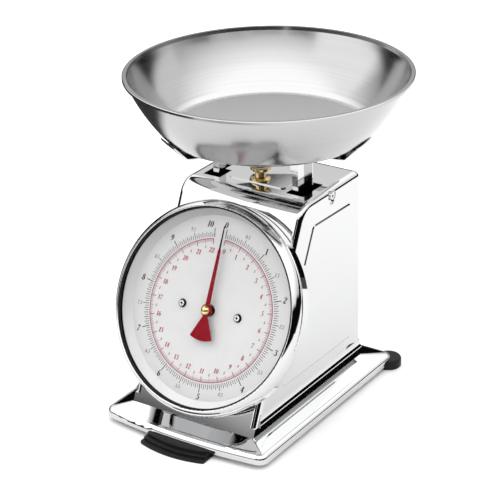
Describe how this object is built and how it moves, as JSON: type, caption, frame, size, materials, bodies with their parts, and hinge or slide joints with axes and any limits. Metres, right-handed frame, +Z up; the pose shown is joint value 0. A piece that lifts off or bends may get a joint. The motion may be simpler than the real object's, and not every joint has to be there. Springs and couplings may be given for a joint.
{
  "type": "mechanical kitchen scale",
  "caption": "Mechanical spring kitchen scale: polished steel housing on a stepped base, tilted round dial with a red pointer, and a lift-off weighing bowl.",
  "frame": {"origin": "on the table, under the middle of the overall box", "axes": "+Z up, -Y towards the reader of the dial, +X to the reader's right"},
  "size_m": [0.25, 0.291, 0.296],
  "materials": {
    "polished_steel": "mirror polished stainless steel",
    "bowl_steel": "spun stainless steel, satin floor and brighter sides",
    "bright_steel": "bright pressed steel",
    "zinc_plate": "zinc plated sheet steel",
    "tool_steel": "ground steel",
    "brass": "turned brass",
    "black_rubber": "matt black rubber",
    "dial_white": "satin white dial",
    "reflector": "pale silver-grey ring",
    "pointer_red": "gloss red enamel",
    "dial_glass": "clear domed glass"
  },
  "bodies": {
    "housing": {"base_tray": "polished_steel", "base_plate": "zinc_plate", "base_plate_posts": "zinc_plate", "base_plate_screws": "zinc_plate", "front_foot": "black_rubber", "left_rear_foot": "black_rubber", "right_rear_foot": "black_rubber", "foot_screws": "zinc_plate", "housing_cover": "polished_steel", "side_screws": "bright_steel", "rear_cover": "polished_steel", "rear_cover_screws": "bright_steel", "chassis": "zinc_plate", "chassis_screws": "zinc_plate", "dial_drum": "polished_steel", "drum_screws": "zinc_plate", "dial_posts": "zinc_plate", "bezel_ring": "polished_steel", "dial_glass": "dial_glass", "glass_gasket": "black_rubber", "reflector_ring": "reflector", "dial_plate": "dial_white", "dial_screws": "bright_steel", "gear_bracket": "zinc_plate", "bracket_screws": "zinc_plate", "front_bush": "brass", "rear_bush": "brass", "upper_pivot_pin": "tool_steel", "lower_pivot_pin": "tool_steel", "spindle_bush": "brass"},
    "platform": {"pan_support": "bright_steel", "left_leg": "bright_steel", "right_leg": "bright_steel", "leg_rivets": "bright_steel", "crossbar": "zinc_plate", "crossbar_screws": "zinc_plate", "lower_spring_plugs": "tool_steel", "rack_arm": "zinc_plate", "rack": "brass", "rack_rivets": "zinc_plate", "leg_pins": "tool_steel"},
    "bowl": {"bowl": "bowl_steel"},
    "pointer": {"pointer": "pointer_red", "pointer_nut": "brass", "pointer_shaft": "tool_steel", "pinion": "brass"},
    "adjuster": {"adjust_knob": "brass", "adjust_spindle": "tool_steel"},
    "hanger": {"spring_hanger": "zinc_plate", "upper_spring_plugs": "tool_steel", "left_spring": "tool_steel", "right_spring": "tool_steel"},
    "upper_lever": {"upper_lever": "zinc_plate"},
    "lower_lever": {"lower_lever": "zinc_plate"}
  },
  "joints": [
    {"name": "platform_slide", "type": "slide", "parent": "housing", "child": "platform", "axis": [0, 0, -1], "range_m": [0, 0.01611], "stiffness_N_per_m": 6088.8, "springref_m": -0.0025, "deforming": ["left_spring", "right_spring"]},
    {"name": "bowl_lift", "type": "slide", "parent": "platform", "child": "bowl", "axis": [0, 0, 1], "range_m": [0, 0.1]},
    {"name": "pointer_spin", "type": "hinge", "parent": "housing", "child": "pointer", "pos_m": [0, -0.0765, 0.10905], "axis": [0, 0.91, -0.4147], "range_deg": [0, 350]},
    {"name": "knob_turn", "type": "hinge", "parent": "housing", "child": "adjuster", "pos_m": [0, 0.00565, 0.2], "axis": [0, 0, 1], "range_deg": [-450, 450]},
    {"name": "hanger_slide", "type": "slide", "parent": "housing", "child": "hanger", "axis": [0, 0, 1], "range_m": [-0.001, 0.001]},
    {"name": "upper_lever_tilt", "type": "hinge", "parent": "housing", "child": "upper_lever", "pos_m": [0, 0.052, 0.168], "axis": [1, 0, 0], "range_deg": [0, 20]},
    {"name": "lower_lever_tilt", "type": "hinge", "parent": "housing", "child": "lower_lever", "pos_m": [0, 0.052, 0.096], "axis": [1, 0, 0], "range_deg": [0, 20]}
  ],
  "couplings": [
    {"joint": "pointer_spin", "follows": "platform_slide", "rad_per_m": 379.15},
    {"joint": "upper_lever_tilt", "follows": "platform_slide", "rad_per_m": 21.362},
    {"joint": "lower_lever_tilt", "follows": "platform_slide", "rad_per_m": 21.362},
    {"joint": "knob_turn", "follows": "hanger_slide", "rad_per_m": 7853.9}
  ]
}
